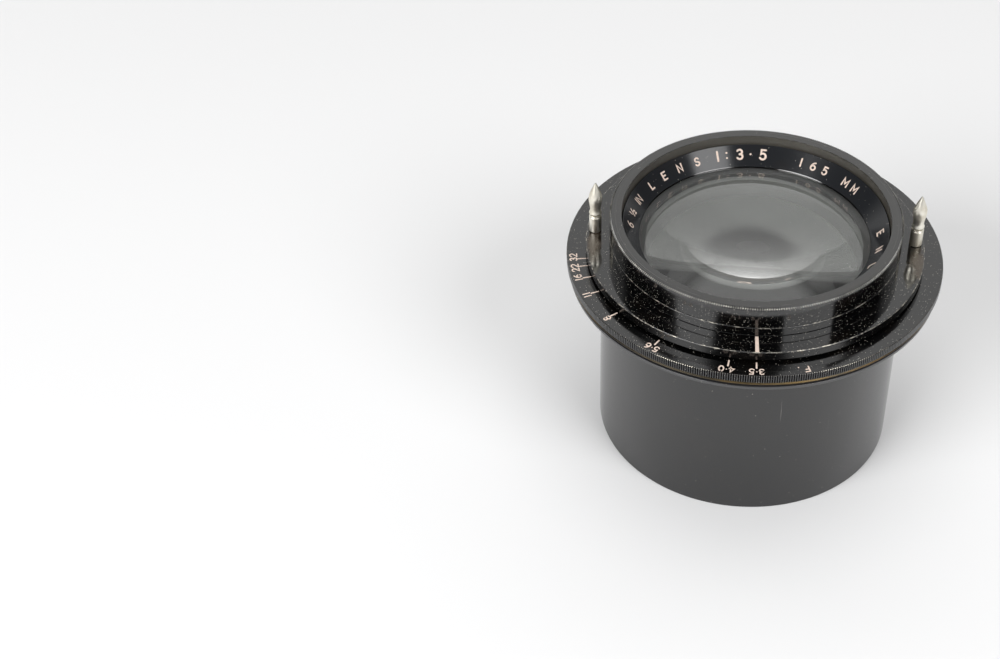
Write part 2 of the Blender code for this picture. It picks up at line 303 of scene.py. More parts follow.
class Skin(Nodes):
    """A new material and its nodes; place is the socket of its object coordinates."""

    def __init__(self, name):
        self.material = bpy.data.materials.new(name)
        self.material.use_nodes = True
        super().__init__(self.material.node_tree)
        self.shader = self.tree.nodes["Principled BSDF"]
        self.output = self.tree.nodes["Material Output"]
        self.place = self.add("ShaderNodeTexCoord").outputs["Object"]

    def noise(self, scale, detail=3.0, rough=0.55, vector=None):
        node = self.add("ShaderNodeTexNoise", Scale=scale, Detail=detail, Roughness=rough)
        self.link(vector or self.place, node.inputs["Vector"])
        return node.outputs["Fac"]

    def bump(self, height, strength, distance):
        node = self.add("ShaderNodeBump")
        node.inputs["Strength"].default_value = strength
        node.inputs["Distance"].default_value = distance
        self.link(height, node.inputs["Height"])
        self.link(node.outputs["Normal"], self.shader.inputs["Normal"])

    def set(self, **values):
        for key, value in values.items():
            self.shader.inputs[key.replace("_", " ")].default_value = value

    def specks(self, scale, share, size):
        """Dots that fill a share of the cells of a fine random pattern."""
        cells = self.add("ShaderNodeTexVoronoi", Scale=scale)
        self.link(self.place, cells.inputs["Vector"])
        split = self.add("ShaderNodeSeparateColor")
        self.link(cells.outputs["Color"], split.inputs[0])
        chosen = self.math("LESS_THAN", split.outputs[0], share)
        reach = self.math("MULTIPLY", split.outputs[1], size)
        near = self.math("LESS_THAN", cells.outputs["Distance"], reach)
        return self.math("MULTIPLY", chosen, near)


DUST = (0.36, 0.34, 0.30)
DUST_CELLS = 4000.0          # dust cells in a metre
DUST_SIZE = 0.31             # the largest speck, as a share of a cell
LACQUER_IOR = 1.75
TARNISH = (0.036, 0.022, 0.010)
SCRATCH = (0.16, 0.15, 0.14)
TURNED = (0.09, 0.088, 0.08)             # the crests of lathe rings under thin lacquer
TURNED_RINGS = 2300.0                    # the scale of those rings, in a metre
WORN_ROUGHNESS = 0.34
EDGE_LACQUER = (0.006, 0.006, 0.006)
LEAST_RUBBED = 0.12                      # an edge's wear outside its worn spots, of 1 inside
BARE_METAL = (0.46, 0.43, 0.37)
SMOOTH_BELOW = 1000.0                    # coarser grooves than this only shade the colour
GLASS_IOR = 1.62


def radius_and_height(n):
    """The distance from the optical axis and the height, as two sockets."""
    split = n.add("ShaderNodeSeparateXYZ")
    n.link(n.place, split.inputs[0])
    x_squared = n.math("POWER", split.outputs[0], 2.0)
    y_squared = n.math("POWER", split.outputs[1], 2.0)
    return n.math("SQRT", n.math("ADD", x_squared, y_squared)), split.outputs[2]


def turned_rings(n, scale):
    """A pattern of fine circles about the optical axis, as a lathe leaves them."""
    along = n.add("ShaderNodeCombineXYZ")
    radius, height = radius_and_height(n)
    n.link(radius, along.inputs[0])
    n.link(height, along.inputs[1])
    return n.noise(scale, 3.0, 0.7, along.outputs[0])


def near_spot(n, centre, reach):
    """1 at centre, in millimetres, falling to 0 at an ellipsoid with the half axes in reach."""
    moved = n.add("ShaderNodeVectorMath", operation="SUBTRACT")
    n.link(n.place, moved.inputs[0])
    moved.inputs[1].default_value = Vector(centre) * MM
    scaled = n.add("ShaderNodeVectorMath", operation="DIVIDE")
    n.link(moved.outputs[0], scaled.inputs[0])
    scaled.inputs[1].default_value = Vector(reach) * MM
    length = n.add("ShaderNodeVectorMath", operation="LENGTH")
    n.link(scaled.outputs[0], length.inputs[0])
    ragged = n.ramp(n.noise(500.0, 4.0, 0.7), 0.3, 0.7, -0.3, 0.3)
    return n.ramp(n.math("ADD", length.outputs["Value"], ragged), 0.45, 1.0, 1.0, 0.0)


def hair_lines(n, share):
    """Short fine scratches that lean a little off the vertical."""
    lean = n.add("ShaderNodeMapping")
    lean.inputs["Rotation"].default_value = (0.25, 0.18, 0.0)
    lean.inputs["Scale"].default_value = (1.0, 1.0, 0.035)
    n.link(n.place, lean.inputs["Vector"])
    lines = n.ramp(n.noise(1500.0, 2.0, 0.5, lean.outputs[0]), 0.70, 0.76)
    patches = n.ramp(n.noise(55.0, 3.0), 0.52, 0.62, 0.0, share)
    return n.math("MULTIPLY", lines, patches)


def lacquer_material(name, base, roughness, dust, ior=LACQUER_IOR, handled=(), turned=0.0,
                     scratched=0.0):
    """Baked black lacquer: soft gloss, dust, brown where it was handled, rings or scratches."""
    n = Skin(name)
    cloudy = n.ramp(n.noise(70.0, 4.0), 0.35, 0.7, roughness * 0.85, roughness * 1.25)
    colour = n.mix(n.ramp(n.noise(160.0, 5.0, 0.65), 0.5, 0.8, 0.0, 0.10), base, TARNISH)
    rough = cloudy
    for centre, reach in handled:
        worn = near_spot(n, centre, reach)
        colour = n.mix(worn, colour, TARNISH)
        rough = n.math("MAXIMUM", rough, n.math("MULTIPLY", worn, WORN_ROUGHNESS))
    colour = n.mix(n.specks(DUST_CELLS, dust, DUST_SIZE), colour, DUST)
    if scratched:
        colour = n.mix(hair_lines(n, scratched), colour, SCRATCH)
    if turned:
        rings = turned_rings(n, TURNED_RINGS)
        colour = n.mix(n.ramp(rings, 0.35, 0.75, 0.0, turned), colour, TURNED)
        rough = n.math("ADD", rough, n.ramp(rings, 0.3, 0.7, 0.0, 0.16))
        n.bump(rings, 0.4, 0.00003)
    else:
        n.bump(n.noise(420.0, 2.0), 0.08, 0.00004)
    n.link(colour, n.shader.inputs["Base Color"])
    n.link(rough, n.shader.inputs["Roughness"])
    n.set(IOR=ior)
    return n.material


def worn_edge_material(name, bare, spots=()):
    """A lacquered edge rubbed through to the metal: bare sets how much shows, spots where."""
    n = Skin(name)
    rubbed = n.ramp(n.noise(700.0, 4.0, 0.7), 0.62 - 0.4 * bare, 0.78 - 0.4 * bare)
    if spots:
        handled = LEAST_RUBBED
        for centre, reach in spots:
            handled = n.math("MAXIMUM", near_spot(n, centre, reach), handled)
        rubbed = n.math("MULTIPLY", rubbed, handled)
    n.link(n.mix(rubbed, EDGE_LACQUER, BARE_METAL), n.shader.inputs["Base Color"])
    n.link(n.ramp(rubbed, 0.0, 1.0, 0.15, WORN_ROUGHNESS), n.shader.inputs["Roughness"])
    n.link(rubbed, n.shader.inputs["Metallic"])
    n.set(IOR=LACQUER_IOR)
    n.bump(n.noise(2200.0, 2.0), 0.2, 0.00002)
    return n.material


def turned_material(name, base, roughness, grooves):
    """A dull surface in one colour, with the fine rings a lathe leaves."""
    n = Skin(name)
    rings = turned_rings(n, grooves)
    colour = n.mix(n.ramp(rings, 0.3, 0.7), base, tuple(c * 1.2 for c in base))
    n.link(colour, n.shader.inputs["Base Color"])
    n.link(n.ramp(rings, 0.3, 0.7, roughness * 0.9, roughness * 1.15), n.shader.inputs["Roughness"])
    if grooves > SMOOTH_BELOW:
        n.bump(rings, 0.1, 0.00002)
    return n.material


def metal_material(name, base, dull, roughness, blotch=180.0):
    """Plated or bare metal with dull blotches and fine scratches."""
    n = Skin(name)
    spots = n.ramp(n.noise(blotch, 5.0, 0.65), 0.42, 0.68)
    n.link(n.mix(spots, base, dull), n.shader.inputs["Base Color"])
    n.link(n.ramp(spots, 0.0, 1.0, roughness, roughness * 1.8), n.shader.inputs["Roughness"])
    n.set(Metallic=1.0)
    n.bump(n.noise(1500.0, 2.0), 0.15, 0.00002)
    return n.material


def paint_material(name, base):
    """The cream filling of the engraving, a little dirty."""
    n = Skin(name)
    dirt = n.ramp(n.noise(900.0, 4.0, 0.7), 0.5, 0.75, 0.0, 0.6)
    n.link(n.mix(dirt, base, tuple(c * 0.45 for c in base)), n.shader.inputs["Base Color"])
    n.set(Roughness=0.75)
    return n.material


def glass_material(name, tint, coating):
    """Optical glass; coating tints and weakens what its surfaces mirror.

    Shadow rays and diffuse rays pass straight through, so that light reaches the pieces inside.
    """
    n = Skin(name)
    n.set(Base_Color=(*tint, 1.0), Roughness=0.0, IOR=GLASS_IOR, Transmission_Weight=1.0)
    n.set(Specular_Tint=(*coating, 1.0))
    clear = n.add("ShaderNodeBsdfTransparent")
    clear.inputs["Color"].default_value = (*tint, 1.0)
    mixer = n.add("ShaderNodeMixShader")
    path = n.add("ShaderNodeLightPath")
    straight = n.math("MAXIMUM", path.outputs["Is Shadow Ray"], path.outputs["Is Diffuse Ray"])
    n.link(straight, mixer.inputs[0])
    n.link(n.shader.outputs[0], mixer.inputs[1])
    n.link(clear.outputs[0], mixer.inputs[2])
    n.link(mixer.outputs[0], n.output.inputs["Surface"])
    return n.material


# =============================================================================================
# Engraved characters, drawn as strokes in a cell one unit high
# =============================================================================================
def bow(cx, cy, rx, ry, start, end, parts=10):
    return [
        (
            cx + rx * math.cos(math.radians(start + (end - start) * step / parts)),
            cy + ry * math.sin(math.radians(start + (end - start) * step / parts)),
        )
        for step in range(parts + 1)
    ]


DOT = 0.004                  # the length of the stroke that makes a dot
MITRE_LIMIT = 0.55           # keeps a stroke's outline from running far out at a sharp bend
LETTER_PROUD = 0.012         # how far the filling of a letter stands above the surface
MARK_PROUD = 0.010           # the same for the ticks and the index line
STROKE_STEP = 0.002          # crossing strokes of one letter differ by this in height
STROKE_SUNK = 0.02           # how far a filling reaches below the surface
SMALL_TWO = bow(0.80, 0.36, 0.14, 0.14, 160, -35, 6) + [(0.64, 0.0), (0.98, 0.0)]
GLYPHS = {
    "0": (0.62, [bow(0.31, 0.5, 0.31, 0.5, 90, 450, 18)]),
    "1": (0.26, [[(0.13, 0.0), (0.13, 1.0)]]),
    "2": (0.60, [bow(0.3, 0.71, 0.29, 0.29, 165, -35) + [(0.0, 0.0), (0.6, 0.0)]]),
    "3": (0.56, [bow(0.27, 0.75, 0.25, 0.25, 150, -90), bow(0.27, 0.26, 0.29, 0.26, 90, -150)]),
    "4": (0.66, [[(0.48, 0.0), (0.48, 1.0), (0.0, 0.3), (0.66, 0.3)]]),
    "5": (0.58, [[(0.54, 1.0), (0.12, 1.0), (0.07, 0.56)] + bow(0.27, 0.32, 0.31, 0.32, 125, -150)]),
    "6": (0.60, [bow(0.3, 0.3, 0.3, 0.3, 0, 360, 16), bow(0.62, 0.3, 0.62, 0.7, 180, 104, 8)]),
    "8": (0.60, [bow(0.3, 0.76, 0.23, 0.24, 0, 360, 16), bow(0.3, 0.26, 0.3, 0.26, 0, 360, 16)]),
    "F": (0.55, [[(0.0, 0.0), (0.0, 1.0), (0.55, 1.0)], [(0.0, 0.52), (0.45, 0.52)]]),
    "E": (0.56, [[(0.56, 0.0), (0.0, 0.0), (0.0, 1.0), (0.56, 1.0)], [(0.0, 0.52), (0.46, 0.52)]]),
    "N": (0.64, [[(0.0, 0.0), (0.0, 1.0), (0.64, 0.0), (0.64, 1.0)]]),
    "L": (0.50, [[(0.0, 1.0), (0.0, 0.0), (0.5, 0.0)]]),
    "A": (0.68, [[(0.0, 0.0), (0.34, 1.0), (0.68, 0.0)], [(0.12, 0.34), (0.56, 0.34)]]),
    "R": (0.60, [[(0.0, 0.0), (0.0, 1.0)] + bow(0.33, 0.75, 0.25, 0.25, 90, -90) + [(0.0, 0.5)],
                 [(0.33, 0.5), (0.6, 0.0)]]),
    "G": (0.68, [bow(0.34, 0.5, 0.34, 0.5, 48, 330, 14) + [(0.64, 0.44), (0.4, 0.44)]]),
    "I": (0.10, [[(0.05, 0.0), (0.05, 1.0)]]),
    "S": (0.56, [bow(0.28, 0.75, 0.25, 0.25, 25, 270) + bow(0.28, 0.25, 0.28, 0.25, 90, -155)]),
    "M": (0.78, [[(0.0, 0.0), (0.0, 1.0), (0.39, 0.3), (0.78, 1.0), (0.78, 0.0)]]),
    "½": (0.95, [[(0.1, 0.5), (0.1, 1.0)], [(0.2, 0.05), (0.68, 0.95)], SMALL_TWO]),
    ":": (0.10, [[(0.05, 0.2), (0.05, 0.2 + DOT)], [(0.05, 0.75), (0.05, 0.75 + DOT)]]),
    "·": (0.10, [[(0.05, 0.5), (0.05, 0.5 + DOT)]]),
    ".": (0.10, [[(0.05, 0.14), (0.05, 0.14 + DOT)]]),
}


def stroke_outline(line, half):
    """The outline of a pen stroke of the given half width, with round ends."""
    points = [Vector(point) for point in line]
    cleaned = [points[0]]
    for point in points[1:]:
        if (point - cleaned[-1]).length > 1e-5:
            cleaned.append(point)
    sides = ([], [])
    last = len(cleaned) - 1
    for index, point in enumerate(cleaned):
        before = (point - cleaned[max(index - 1, 0)]).normalized()
        after = (cleaned[min(index + 1, last)] - point).normalized()
        along = (before + after).normalized() if (before + after).length > 1e-6 else after
        reach = half
        if 0 < index < last:
            half_bend_cosine = math.sqrt(max(0.0, (1.0 + before.dot(after)) / 2.0))
            reach = half / max(MITRE_LIMIT, half_bend_cosine)
        across = Vector((-along.y, along.x)) * reach
        sides[0].append(point + across)
        sides[1].append(point - across)
    end_cap = round_cap(cleaned[-1], (cleaned[-1] - cleaned[-2]).normalized(), half)
    start_cap = round_cap(cleaned[0], (cleaned[0] - cleaned[1]).normalized(), half)
    return sides[0] + end_cap + sides[1][::-1] + start_cap


def round_cap(centre, direction, half, parts=6):
    base = math.atan2(direction.y, direction.x)
    return [
        centre + half * Vector((math.cos(base + turn), math.sin(base + turn)))
        for turn in (math.pi / 2 - math.pi * step / parts for step in range(1, parts))
    ]


def add_stroke(shape, outline, to_surface, proud=MARK_PROUD):
    """A filled groove: one closed sliver that stands a hair above the surface."""
    high = [shape.verts.new(to_surface(x, y, proud)) for x, y in outline]
    low = [shape.verts.new(to_surface(x, y, -STROKE_SUNK)) for x, y in outline]
    count = len(outline)
    shape.faces.new(high)
    shape.faces.new(low[::-1])
    for index in range(count):
        follow = (index + 1) % count
        shape.faces.new((high[follow], high[index], low[index], low[follow]))


def cone_mapper(azimuth_deg, top, slope_deg):
    """Map (x along the text, y up the letter) to a surface of revolution.

    top is the (r, z) where y = 0; y runs outwards and up the slope, x runs clockwise.
    """
    slope = math.radians(slope_deg)

    def to_surface(x, y, lift):
        radius = top[0] + y * math.cos(slope) - lift * math.sin(slope)
        height = top[1] + y * math.sin(slope) + lift * math.cos(slope)
        return polar(radius, azimuth_deg - math.degrees(x / top[0]), height)

    return to_surface


def write(shape, text, azimuth_deg, foot, slope_deg, size, pen, gap=0.34):
    """Engrave text centred on an azimuth, with its foot on the circle foot = (r, z)."""
    widths = [GLYPHS[letter][0] for letter in text]
    total = sum(widths) + gap * (len(text) - 1)
    start = -total / 2.0
    to_surface = cone_mapper(azimuth_deg, foot, slope_deg)
    for letter, width in zip(text, widths):
        for number, line in enumerate(GLYPHS[letter][1]):
            outline = stroke_outline([((start + x) * size, y * size) for x, y in line], pen / 2.0)
            add_stroke(shape, outline, to_surface, LETTER_PROUD + number * STROKE_STEP)
        start += width + gap


# =============================================================================================
# Pieces
# =============================================================================================
def build_barrel(skins):
    section = rounded([
        (NECK_BORE_R, NECK_TOP_Z, 0.1), (NECK_R, NECK_TOP_Z, 0.1), (NECK_R, SHELF_TOP_Z + 0.14),
        (NECK_FOOT_R, SHELF_TOP_Z + 0.1), (NECK_FOOT_R, SHELF_TOP_Z),
        (SHELF_R, SHELF_TOP_Z, 0.14), (SHELF_R, SHELF_BOTTOM_Z, 0.12), (TUBE_R, SHELF_BOTTOM_Z, 0.05),
        (TUBE_R, 0.0, 0.2), (BORE_R, 0.0, 0.2), (BORE_R, SHELF_BOTTOM_Z),
        (NECK_BORE_R, SHELF_BOTTOM_Z),
    ])
    piece = make_piece("barrel_body", lathe(section), skins["lacquer"], "lens_housing")
    paint_faces(piece, skins["tube"], lambda r, z: z < SHELF_BOTTOM_Z - 0.2)
    paint_faces(piece, skins["inside"], lambda r, z: r < BORE_R + 0.05)
    paint_faces(piece, skins["faint_edge"], lambda r, z: r > NECK_R - 0.13 and z > NECK_TOP_Z - 0.11)
    paint_faces(piece, skins["shelf_edge"], lambda r, z: r > SHELF_R - 0.1)
    paint_faces(piece, skins["faint_edge"], lambda r, z: r > SHELF_R - 0.13 and z > SHELF_TOP_Z - 0.13)
    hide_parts("barrel")


KNURL = (0.0, 0.0, 1.0, 0.0)      # one tooth: a flat crest and a V groove, in four steps
KNURL_DEPTH = 0.22


def knurl_wave(chosen):
    """Grooves that are cut inwards on the chosen points of a section."""
    def wave(index, side):
        cut = KNURL_DEPTH * KNURL[side % len(KNURL)] if index in chosen else 0.0
        return (-cut, 0.0)

    return wave


def build_aperture_ring(skins):
    section = rounded([
        (RING_BORE_R, RING_TOP_Z, 0.05), (RING_R, RING_TOP_Z, 0.16),
        (RING_R, RING_BOTTOM_Z, 0.12), (RING_BORE_R, RING_BOTTOM_Z, 0.05),
    ], 3)
    rim_points = {index for index, (r, z) in enumerate(section) if r > RING_R - 0.1}
    shape = lathe(section, RING_TEETH * len(KNURL), wave=knurl_wave(rim_points))
    piece = make_piece("aperture_ring_body", shape, skins["ring"], "aperture_control")
    paint_faces(piece, skins["rubbed_edge"], lambda r, z: r > RING_R - 0.14 and z > RING_TOP_Z - 0.12)
    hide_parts("aperture_ring")


# Label, turn of its tick in degrees, and how far the label was cut off its tick.
STOPS = (("3·5", 0.0, 0.0), ("4·0", 8.7, 0.2), ("5·6", 32.8, 0.0), ("8", 51.9, -0.2),
         ("11", 64.5, -0.2), ("16", 72.6, 0.6), ("22", 78.6, -0.6), ("32", 82.5, 0.9))
INDEX_AZIMUTH_DEG = -90.0
DIGIT_FOOT_R = 36.98
DIGIT_SIZE = 1.45
DIGIT_PEN = 0.27
DIGIT_GAP = 0.32
LETTER_AZIMUTH_DEG = INDEX_AZIMUTH_DEG + 15.0  # the letter before the first mark
FULL_STOP_AZIMUTH_DEG = INDEX_AZIMUTH_DEG + 12.6
FULL_STOP_FOOT_R = DIGIT_FOOT_R - 0.2
FULL_STOP_PEN = 0.30
TICK_INNER_R = 35.15
TICK_LENGTH = 1.55
TICK_PEN = 0.30
INDEX_GAP = 0.15             # between the neck and the index line
INDEX_LENGTH = 4.55
INDEX_WIDTH = 0.64


def build_scale(skins):
    shape = bmesh.new()
    foot = (DIGIT_FOOT_R, RING_TOP_Z)
    for label, turn, slip in STOPS:
        azimuth = INDEX_AZIMUTH_DEG - turn
        write(shape, label, azimuth - slip, foot, 0.0, DIGIT_SIZE, DIGIT_PEN, DIGIT_GAP)
        tick = cone_mapper(azimuth, (TICK_INNER_R, RING_TOP_Z), 0.0)
        add_stroke(shape, stroke_outline([(0.0, 0.0), (0.0, TICK_LENGTH)], TICK_PEN / 2.0), tick)
    write(shape, "F", LETTER_AZIMUTH_DEG, foot, 0.0, DIGIT_SIZE, DIGIT_PEN)
    stop_foot = (FULL_STOP_FOOT_R, RING_TOP_Z)
    write(shape, ".", FULL_STOP_AZIMUTH_DEG, stop_foot, 0.0, DIGIT_SIZE, FULL_STOP_PEN)
    make_piece("ring_scale", shape, skins["cream"], "aperture_control", sharp_deg=STROKE_SHARP_DEG)


def build_index(skins):
    shape = bmesh.new()
    mapper = cone_mapper(INDEX_AZIMUTH_DEG, (NECK_R + INDEX_GAP, SHELF_TOP_Z), 0.0)
    half = INDEX_WIDTH / 2.0
    add_stroke(shape, [(-half, 0.0), (half, 0.0), (half, INDEX_LENGTH), (-half, INDEX_LENGTH)], mapper)
    make_piece("index_mark", shape, skins["cream"], "lens_housing", sharp_deg=STROKE_SHARP_DEG)


def build_front_cell(skins):
    section = rounded([
        (RIM_INNER_R, RIM_TOP_Z, 0.12), (RIM_R - RIM_CHAMFER, RIM_TOP_Z, 0.03),
        (RIM_R, RIM_TOP_Z - RIM_CHAMFER, 0.03), (RIM_R, HEAD_BOTTOM_Z, 0.07),
        (CELL_R, HEAD_BOTTOM_Z), (CELL_R, CELL_BOTTOM_Z),
        (REAR_LIP_R, CELL_BOTTOM_Z), (REAR_LIP_R, REAR_LIP_Z),
        (SECOND_BORE_R, REAR_LIP_Z), (SECOND_BORE_R, SECOND_BORE_Z),
        (FRONT_BORE_R, SECOND_BORE_Z), (FRONT_BORE_R, FRONT_BORE_Z), (RIM_INNER_R, FRONT_BORE_Z),
    ], 2)
    piece = make_piece("front_cell_body", lathe(section), skins["head"], "lens_housing")
    paint_faces(piece, skins["rim_top"], lambda r, z: z > RIM_TOP_Z - 0.1)
    paint_faces(piece, skins["faint_edge"], lambda r, z: z < HEAD_BOTTOM_Z + 0.07 and r > RIM_R - 0.08)
    paint_faces(piece, skins["inside"], lambda r, z: r < RIM_INNER_R - 0.05)
    paint_faces(piece, skins["rim_wall"],
                lambda r, z: abs(r - RIM_INNER_R) < 0.02 and z < RIM_TOP_Z - 0.1)
    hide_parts("front_cell")
    build_rim_beads(skins)


BEAD_SPANS = (0.0, 0.2, 0.5, 0.8, 1.0)         # points of a bead along the chamfer
BEAD_STEPS = 8                                 # steps from one bead to the next
BEAD_ROOT = 0.2                                # how far the row reaches into the rim


def build_rim_beads(skins):
    """The milled row of beads on the rim's chamfer: grooves between rounded crests."""
    inner = Vector((RIM_R - RIM_CHAMFER, RIM_TOP_Z))
    outer = Vector((RIM_R, RIM_TOP_Z - RIM_CHAMFER))
    normal = Vector((1.0, 1.0)).normalized()
    crest = [inner.lerp(outer, share) + normal * (BEAD_HEIGHT * math.sin(math.pi * share) - 0.01)
             for share in BEAD_SPANS]
    section = crest + [outer - normal * BEAD_ROOT, inner - normal * BEAD_ROOT]

    def wave(index, side):
        groove = 1.0 - abs(math.sin(math.pi * side / BEAD_STEPS))
        share = math.sin(math.pi * BEAD_SPANS[index]) if index < len(BEAD_SPANS) else 0.0
        lower = BEAD_HEIGHT * groove * share * normal
        return (-lower.x, -lower.y)

    shape = lathe(section, RIM_TEETH * BEAD_STEPS, wave=wave)
    piece = make_piece("rim_beads", shape, skins["shelf_edge"], "lens_housing",
                       sharp_deg=BEAD_SHARP_DEG)
    bare_from = outer.x + outer.y + BEAD_CREST
    paint_faces(piece, skins["bead"], lambda r, z: r + z > bare_from)


NAME_FOOT = 0.36         # where the letters' feet stand, as a share of the way up the slope
NAME_GAP = 0.24
RATIO = (2.05, 0.42)     # letter height and pen width, in millimetres
WORD = (1.65, 0.34)
FOCUS = (1.7, 0.24)


def name_marks():
    """Each mark engraved on the name ring: text, azimuth, and its letter height and pen width."""
    marks = [("6", 179.7, FOCUS), ("½", 170.5, FOCUS), ("IN", 160.4, FOCUS)]
    marks += [(letter, 147.5 - 9.9 * i, WORD) for i, letter in enumerate("LENS")]
    marks += [("1", 107.0, RATIO), (":", 102.5, RATIO)]
    marks += [("3", 96.1, RATIO), ("·", 90.9, RATIO), ("5", 84.9, RATIO)]
    marks += [(letter, 66.0 - 6.4 * i, WORD) for i, letter in enumerate("165 MM") if letter != " "]
    marks += [(letter, -0.7 - 12.4 * i, WORD) for i, letter in enumerate("ENLARGING")]
    return marks


def build_name_ring(skins):
    section = rounded([
        (NAME_TOP[0], NAME_TOP[1], 0.08), (NAME_TOP[0], NAME_UNDERSIDE[1]), NAME_UNDERSIDE,
        (NAME_BOTTOM[0], NAME_BOTTOM[1] - NAME_LIP_FILLET),
        (NAME_BOTTOM[0], NAME_BOTTOM[1], NAME_LIP_FILLET),
    ], 6)
    piece = make_piece("name_ring_body", lathe(section), skins["name"], "lens_housing")
    paint_faces(piece, skins["lip"],
                lambda r, z: r < NAME_BOTTOM[0] + 0.16 and z > NAME_BOTTOM[1] - 0.3)
    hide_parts("name_ring")
    shape = bmesh.new()
    run = NAME_TOP[0] - NAME_BOTTOM[0]
    rise = NAME_TOP[1] - NAME_BOTTOM[1]
    slope = math.degrees(math.atan2(rise, run))
    foot = (NAME_BOTTOM[0] + run * NAME_FOOT, NAME_BOTTOM[1] + rise * NAME_FOOT)
    for text, azimuth, (size, pen) in name_marks():
        write(shape, text, azimuth, foot, slope, size, pen, NAME_GAP)
    make_piece("name_engraving", shape, skins["cream"], "lens_housing", sharp_deg=STROKE_SHARP_DEG)


def build_lower_rings(skins):
    bevel_top, bevel_bottom = RETAINER_BEVEL_Z
    retainer = rounded([
        (RING_BORE_R, RETAINER_TOP_Z, 0.05), (LOWER_RINGS_R, RETAINER_TOP_Z, 0.1),
        (RETAINER_BEVEL_R, bevel_top, 0.05), (RETAINER_BEVEL_R, bevel_bottom, 0.05),
        (LOWER_RINGS_R, RETAINER_BOTTOM_Z, 0.1), (RING_BORE_R, RETAINER_BOTTOM_Z, 0.05),
    ], 3)
    piece = make_piece("retainer_body", lathe(retainer), skins["lacquer"], "lens_housing")
    paint_faces(piece, skins["brass"], lambda r, z: r > LOWER_RINGS_R + 0.1)
    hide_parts("ring_retainer")
    plate = rounded([
        (RING_BORE_R, PLATE_TOP_Z, 0.05), (LOWER_RINGS_R, PLATE_TOP_Z, 0.12),
        (LOWER_RINGS_R, PLATE_BOTTOM_Z, 0.12), (RING_BORE_R, PLATE_BOTTOM_Z, 0.05),
    ], 3)
    piece = make_piece("seating_plate_body", lathe(plate), skins["plate"], "lens_housing")
    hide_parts("seating_plate")


def build_front_glass(skins):
    upper, lower = FRONT_GLASS
    front = spherical(*upper, FRONT_GLASS_R, 24)
    rear = spherical(*lower, FRONT_GLASS_R, 8)
    shape = lathe(front + rear[::-1], 128, closed=False)
    piece = make_piece("front_glass", shape, skins["coated_glass"], "lens_housing",
                       sharp_deg=GLASS_SHARP_DEG)
    wall = FRONT_GLASS_R - 0.1
    paint_faces(piece, skins["bare_glass"], lambda r, z: z > front[-1][1] and r < wall)
    paint_faces(piece, skins["ground_edge"], lambda r, z: r > wall)
    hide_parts("front_element")


def build_inner_glasses(skins):
    for name, node, upper, lower, edge in INNER_GLASSES:
        top = spherical(*upper, edge, 16)
        bottom = spherical(*lower, edge, 16)
        rim = [(INNER_GLASS_R, top[-1][1]), (INNER_GLASS_R, bottom[-1][1])]
        shape = lathe(top + rim + bottom[::-1], 96, closed=False)
        piece = make_piece(name, shape, skins["coated_glass"], "lens_housing",
                           sharp_deg=GLASS_SHARP_DEG)
        paint_faces(piece, skins["frosted_edge"], lambda r, z, edge=edge: r > edge)
        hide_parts(node)


def cut_slot(piece, azimuth):
    """Saw the slot through a stud, along the line from the optical axis."""
    spot = polar(STUD_CIRCLE_R, azimuth)
    low, high = STUD_SLOT_Z
    shape = bmesh.new()
    bmesh.ops.create_cube(shape, size=1.0)
    bmesh.ops.scale(shape, vec=(STUD_SAW_LENGTH, STUD_SLOT_WIDTH, high - low), verts=shape.verts)
    bmesh.ops.rotate(shape, matrix=Matrix.Rotation(math.radians(azimuth), 3, "Z"), verts=shape.verts)
    bmesh.ops.translate(shape, vec=(spot.x, spot.y, (low + high) / 2.0), verts=shape.verts)
    bmesh.ops.scale(shape, vec=(MM, MM, MM), verts=shape.verts)
    data = bpy.data.meshes.new("saw")
    shape.to_mesh(data)
    shape.free()
    saw = bpy.data.objects.new("saw", data)
    bpy.context.scene.collection.objects.link(saw)
    tool = piece.modifiers.new("slot", "BOOLEAN")
    tool.object = saw
    bpy.context.view_layer.update()
    cut = piece.evaluated_get(bpy.context.evaluated_depsgraph_get())
    result = bpy.data.meshes.new_from_object(cut)
    piece.modifiers.clear()
    piece.data = result
    result.set_sharp_from_angle(angle=math.radians(SHARP_DEG))
    bpy.data.objects.remove(saw)


def build_stud(side, azimuth, skins):
    spot = polar(STUD_CIRCLE_R, azimuth)
    shape = lathe(rounded(STUD_COLLAR, 3), TINY)
    bmesh.ops.translate(shape, verts=shape.verts, vec=spot)
    sleeve = make_piece(f"collar_{side}", shape, skins["nickel"], "lens_housing")
    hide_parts(f"stud_collar_{side}")
    shape = lathe(STUD_HEAD + STUD_WAIST + STUD_SHOULDER + STUD_SHANK, TINY, closed=False)
    bmesh.ops.translate(shape, verts=shape.verts, vec=spot)
    stud = make_piece(f"stud_{side}", shape, skins["nickel"], "lens_housing")
    cut_slot(stud, azimuth)
    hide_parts(f"snap_stud_{side}")


def restyle_frame_nodes(frame, skins):
    """Give materials to the CAD's own pieces that stay as they are."""
    looks = {
        "spacer_ring": "inside", "iris_seat_ring": "inside", "iris_drive_sleeve": "inside",
        "rear_cell": "inside", "rear_retaining_ring": "inside", "drive_screw": "nickel",
    }
    for name, node in frame["nodes"].items():
        look = "blade" if name.startswith("iris_blade") else looks.get(name)
        if look is None:
            continue
        for entry in node.material_slots:
            entry.material = skins[look]


